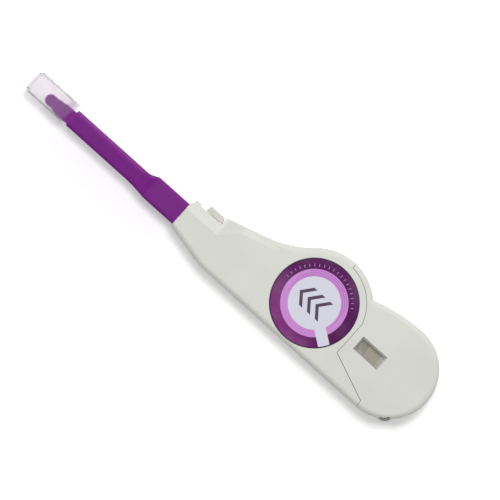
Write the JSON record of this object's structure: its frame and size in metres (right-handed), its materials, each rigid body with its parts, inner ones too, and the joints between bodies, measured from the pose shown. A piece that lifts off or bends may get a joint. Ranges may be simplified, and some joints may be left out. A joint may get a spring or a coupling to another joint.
{
  "type": "fibre connector cleaning pen",
  "caption": "Push-action tape cleaner for multi-fibre connectors: flat two-reel casing, rectangular nozzle, sprung head and clear guide cap.",
  "frame": {"origin": "centre of the flat back face under the take-up reel's axle", "axes": "+X to the rear, the nozzle points to -X; +Z out of the label side; -Z is the back face it lies on"},
  "size_m": [0.2026, 0.0424, 0.02],
  "materials": {
    "case_plastic": "fine satin moulding",
    "smoked_pane": "smoked clear pane",
    "printed_label": "printed film label with plain rings",
    "lock_plastic": "satin",
    "purple_plastic": "satin moulding",
    "white_plastic": "natural acetal",
    "frosted_plastic": "frosted clear",
    "clear_plastic": "clear, polished",
    "tape": "microfibre cleaning tape",
    "steel": "bright spring steel"
  },
  "bodies": {
    "housing": {"lower_case": "case_plastic", "front_cover": "case_plastic", "rear_cover": "case_plastic", "window_pane": "smoked_pane", "round_label": "printed_label", "guide_pins": "steel", "feed_tape": "tape", "return_tape": "tape", "supply_brake": "steel", "backstop_pawl": "white_plastic", "return_spring": "steel"},
    "nozzle_unit": {"nozzle": "purple_plastic", "slider_rack": "white_plastic", "nozzle_tape": "tape"},
    "head_unit": {"cleaning_head": "purple_plastic", "head_tape": "tape", "head_spring": "steel"},
    "cap": {"guide_cap": "frosted_plastic"},
    "lock": {"lock_button": "lock_plastic"},
    "drive": {"drive_gear": "white_plastic", "clutch_spring": "steel"},
    "takeup": {"takeup_reel": "white_plastic", "takeup_flange": "white_plastic", "used_tape": "tape"},
    "supply": {"supply_reel": "white_plastic", "supply_flange": "clear_plastic", "tape_roll": "tape"}
  },
  "joints": [
    {"name": "nozzle_slide", "type": "slide", "parent": "housing", "child": "nozzle_unit", "axis": [1, 0, 0], "range_m": [0, 0.012], "stiffness_N_per_m": 300, "springref_m": -0.01, "deforming": ["return_spring"]},
    {"name": "head_slide", "type": "slide", "parent": "nozzle_unit", "child": "head_unit", "axis": [1, 0, 0], "range_m": [0, 0.002], "stiffness_N_per_m": 400, "springref_m": -0.003, "deforming": ["head_spring"]},
    {"name": "cap_pull", "type": "slide", "parent": "nozzle_unit", "child": "cap", "axis": [-1, 0, 0], "range_m": [0, 0.03]},
    {"name": "lock_slide", "type": "slide", "parent": "housing", "child": "lock", "axis": [-1, 0, 0], "range_m": [0, 0.003]},
    {"name": "drive_gear_spin", "type": "hinge", "parent": "housing", "child": "drive", "pos_m": [0, 0, 0.0037], "axis": [0, 0, 1], "range_deg": [0, 86]},
    {"name": "takeup_spin", "type": "hinge", "parent": "housing", "child": "takeup", "pos_m": [0, 0, 0.01], "axis": [0, 0, 1], "continuous": true},
    {"name": "supply_spin", "type": "hinge", "parent": "housing", "child": "supply", "pos_m": [0.0405, 0, 0.01], "axis": [0, 0, 1], "continuous": true}
  ],
  "couplings": [
    {"joint": "drive_gear_spin", "follows": "nozzle_slide", "rad_per_m": 125},
    {"joint": "supply_spin", "follows": "takeup_spin", "ratio": -0.72581}
  ]
}
